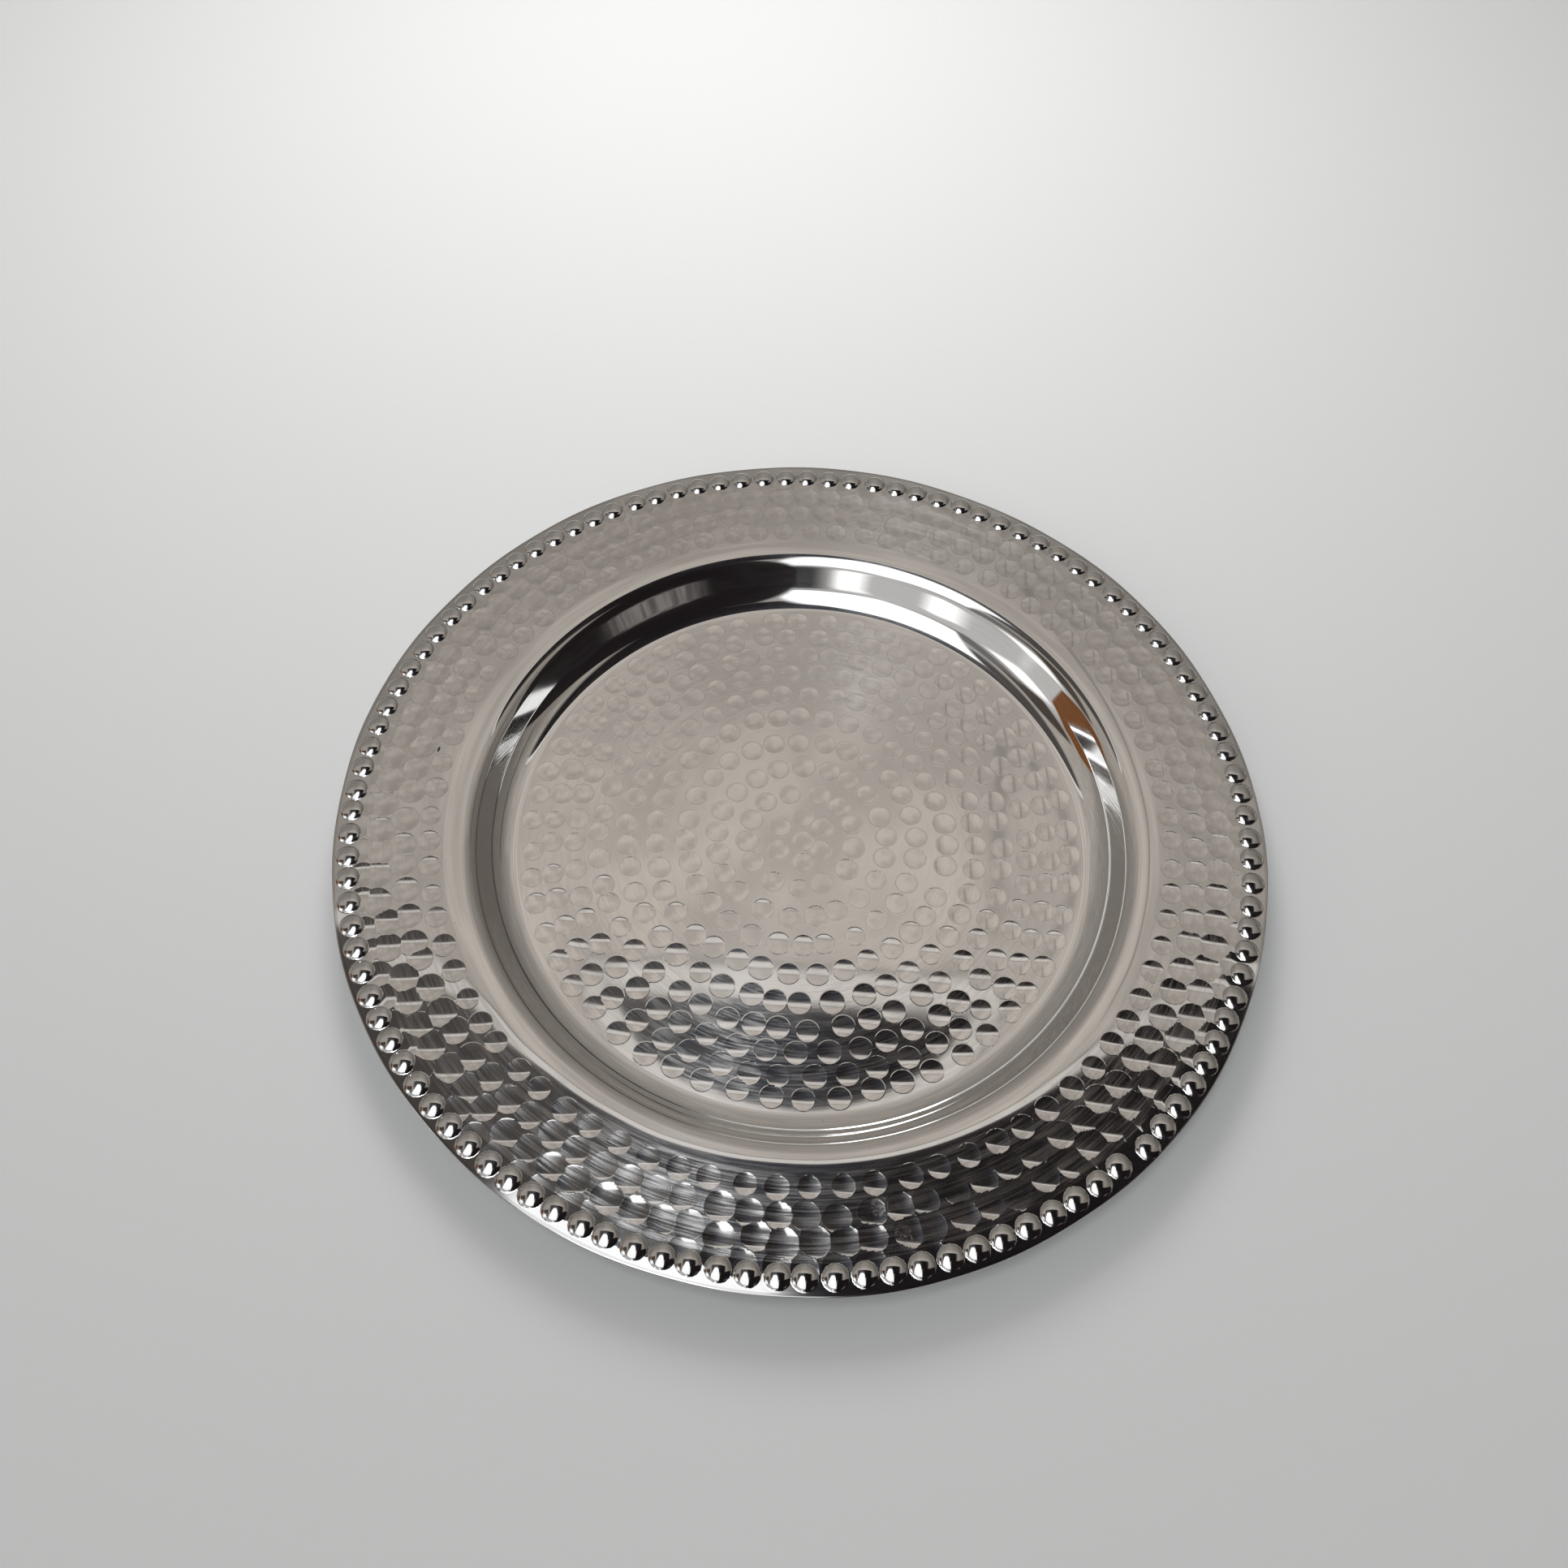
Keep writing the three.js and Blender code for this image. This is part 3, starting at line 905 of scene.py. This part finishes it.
def steel(name, colour, haze, haze_roughness, mirror_roughness, lines, seed, burr=False, polished=False,
          nicks=(), scuffs=()):
    """Spun and hammered steel: a sharp mirror, and over it the haze that the concentric brush lines scatter.
    `haze` is the share of the haze, and `lines` is how strongly the brush lines show in it. `burr` draws the
    fine raised line round each hammer mark or bead, with a painted line of shade along it. A nick is a cut
    painted near-black as the shade inside it, and a scuff a patch of crossing scratches, both as (radius,
    degrees round, length, width)."""
    material = bpy.data.materials.new(name)
    material.use_nodes = True
    nodes = Nodes(material.node_tree)
    brushing = Brushing(nodes, seed)
    fine = brushing.lines(per_metre=1500.0, round_count=9.0, detail=3.0)
    broad = brushing.lines(per_metre=480.0, round_count=6.0, detail=2.0)
    line_share = nodes.rise(nodes.weighted(fine, 0.6, broad, 0.4), 0.40, 0.64)

    outwards = nodes.rise(brushing.radius, HAZE_FROM, HAZE_FULL, CENTRE_HAZE, 1.0)
    haze_share = nodes.math("ADD", haze * (1 - lines), nodes.math("MULTIPLY", line_share, 2 * haze * lines))
    haze_share = nodes.math("MULTIPLY", haze_share, outwards)
    for scuff in scuffs:
        crossing = nodes.noise(brushing.place, scale=620.0, detail=2.0, roughness=0.7, distortion=2.5)
        scratches = nodes.rise(crossing, 0.48, 0.62)
        rubbed = nodes.all_of(brushing.blemish(*scuff), scratches, SCUFF_HAZE)
        haze_share = nodes.math("MAXIMUM", haze_share, rubbed)

    smears = nodes.noise(brushing.place, scale=38.0, detail=3.0, roughness=0.55, distortion=0.6)
    smudged = nodes.rise(smears, 0.52, 0.75)
    dusty = nodes.rise(nodes.noise(brushing.place, scale=900.0, detail=1.0), 0.74, 0.80)
    tint = nodes.mix(nodes.math("MULTIPLY", smudged, 0.35), (*colour, 1), darker(colour, 0.93))
    tint = nodes.mix(nodes.math("MULTIPLY", dusty, 0.4), tint, darker(colour, 0.6))
    tint = nodes.mix(nodes.math("MULTIPLY", line_share, 0.05), tint, darker(colour, 0.5))
    for nick in nicks:
        # Painted shade: each nick is coloured near-black, as the shade inside the cut.
        tint = nodes.mix(nodes.math("MULTIPLY", brushing.blemish(*nick), 0.9), tint, NICK_SHADE)

    height = nodes.math("ADD", fine, nodes.math("MULTIPLY", broad, 1.2))
    if burr:
        from_line = nodes.add("ShaderNodeAttribute", attribute_name="mark_edge").outputs["Fac"]
        ridge = nodes.fall(nodes.math("ABSOLUTE", from_line), 0.0, BURR_WIDTH)
        height = nodes.math("ADD", height, nodes.math("MULTIPLY", ridge, BURR_HEIGHT / BRUSH_DEPTH))
        # Painted shade: a thin darker line along the crease round each mark and bead, over the raised burr.
        tint = nodes.mix(nodes.math("MULTIPLY", ridge, 0.14), tint, darker(colour, 0.4))
    depth = POLISHED_DEPTH if polished else BRUSH_DEPTH
    bump = nodes.add("ShaderNodeBump", {"Height": height, "Strength": 1.0, "Distance": depth * MM})
    bump = bump.outputs[0]

    mirror_rough = nodes.math("ADD", mirror_roughness, nodes.math("MULTIPLY", smudged, 0.03))
    mirror = nodes.add("ShaderNodeBsdfPrincipled", {
        "Base Color": tint, "Metallic": 1.0, "Roughness": mirror_rough, "Normal": bump})
    round_axis = nodes.add("ShaderNodeTangent", direction_type="RADIAL", axis="Z").outputs[0]
    hazy = nodes.add("ShaderNodeBsdfPrincipled", {
        "Base Color": tint, "Metallic": 1.0, "Roughness": haze_roughness, "Anisotropic": ANISOTROPY,
        "Anisotropic Rotation": 0.25, "Tangent": round_axis, "Normal": bump})
    both = nodes.add("ShaderNodeMixShader", {0: haze_share, 1: mirror.outputs[0], 2: hazy.outputs[0]})
    nodes.add("ShaderNodeOutputMaterial", {"Surface": both.outputs[0]})
    return material


# One sheet of steel in six tones: the rim, the beads and above all the cut edge get darker colours than the
# wall and floor, as painted shade.
def floor_steel():
    return steel("floor_steel", (0.71, 0.695, 0.675), haze=0.15, haze_roughness=0.27,
                 mirror_roughness=0.04, lines=0.9, seed=1, burr=True)


def wall_steel():
    return steel("wall_steel", (0.74, 0.73, 0.715), haze=0.06, haze_roughness=0.28,
                 mirror_roughness=0.03, lines=0.5, seed=2, polished=True)


def shoulder_steel():
    return steel("shoulder_steel", (0.68, 0.668, 0.65), haze=0.10, haze_roughness=0.27,
                 mirror_roughness=0.03, lines=0.6, seed=6, polished=True)


def rim_steel():
    return steel("rim_steel", (0.64, 0.625, 0.606), haze=0.21, haze_roughness=0.27,
                 mirror_roughness=0.04, lines=0.85, seed=3, burr=True,
                 nicks=RIM_NICKS, scuffs=RIM_SCUFFS)


def bead_steel():
    return steel("bead_steel", (0.62, 0.61, 0.598), haze=0.04, haze_roughness=0.25,
                 mirror_roughness=0.03, lines=0.5, seed=4, burr=True)


# Painted shade: the cut edge and the strip outside the beads are much darker than the rest of the sheet.
def edge_steel():
    return steel("edge_steel", (0.50, 0.49, 0.478), haze=0.05, haze_roughness=0.25,
                 mirror_roughness=0.05, lines=0.5, seed=5)


# ---- stage: floor, lights and camera ----

TABLE_COLOUR = (0.575, 0.58, 0.57, 1)
TABLE_REACH = 4.0                      # metres from its middle to each side
KEY_PLACE = (-0.1, 0.55, 0.50)         # metres, as are the two below
KEY_TARGET = (0, 0.1, 0)
KEY_WIDTH = 0.35
KEY_WATTS = 3.4

LENS = 36.056                          # for a picture that is SENSOR wide
SENSOR = 36
EYE = (-7.4, -269.1, 488.9 + EDGE_TOP)    # millimetres
LOOKS_DOWN = math.radians(59.87)
ROLL = math.radians(-3.2)


def pale_floor():
    mesh = bpy.data.meshes.new("pale_floor")
    corners = [(x * TABLE_REACH, y * TABLE_REACH, 0) for x, y in ((-1, -1), (1, -1), (1, 1), (-1, 1))]
    mesh.from_pydata(corners, [], [(0, 1, 2, 3)])
    floor = bpy.data.objects.new("pale_floor", mesh)
    bpy.context.scene.collection.objects.link(floor)
    material = bpy.data.materials.new("pale_laminate")
    material.use_nodes = True
    nodes = Nodes(material.node_tree)
    surface = nodes.add("ShaderNodeBsdfPrincipled", {
        "Base Color": TABLE_COLOUR, "Roughness": 0.6, "Specular IOR Level": 0.2})
    nodes.add("ShaderNodeOutputMaterial", {"Surface": surface.outputs[0]})
    mesh.materials.append(material)


def soft_light(name, place, target, width, watts):
    """A large square light that lights the floor but isn't mirrored by the metal."""
    data = bpy.data.lights.new(name, "AREA")
    data.size = width
    data.energy = watts
    lamp = bpy.data.objects.new(name, data)
    lamp.location = place
    lamp.rotation_euler = (Vector(target) - Vector(place)).to_track_quat("-Z", "Y").to_euler()
    lamp.visible_glossy = False
    bpy.context.scene.collection.objects.link(lamp)


def camera():
    """Looks down at the plate from the near side, held a little askew."""
    data = bpy.data.cameras.new("camera")
    data.sensor_width = SENSOR
    data.lens = LENS
    data.clip_start = 0.01
    forward = Vector((0, math.cos(LOOKS_DOWN), -math.sin(LOOKS_DOWN)))
    level = Vector((1, 0, 0))
    below = forward.cross(level)
    right = math.cos(ROLL) * level + math.sin(ROLL) * below
    lower = math.cos(ROLL) * below - math.sin(ROLL) * level
    turned = Matrix((right, -lower, -forward)).transposed().to_4x4()
    eye = bpy.data.objects.new("camera", data)
    bpy.context.scene.collection.objects.link(eye)
    eye.matrix_world = Matrix.Translation(Vector(EYE) * MM) @ turned
    bpy.context.scene.camera = eye


metal_of = {
    "well_floor": (well_floor, "hammered_steel", floor_steel),
    "well_wall": (well_wall, "polished_steel", wall_steel),
    "rim_shoulder": (rim_shoulder, "polished_steel", shoulder_steel),
    "hammered_rim": (hammered_rim, "hammered_steel", rim_steel),
    "beaded_border": (beaded_border, "bead_steel", bead_steel),
    "edge_lip": (edge_lip, "cut_edge", edge_steel),
}
for node, (shape, slot, metal) in metal_of.items():
    finished(shape(), node, metal())
pale_floor()
soft_light("key", KEY_PLACE, KEY_TARGET, KEY_WIDTH, KEY_WATTS)
studio()
camera()
bpy.context.scene.view_settings.view_transform = "Standard"
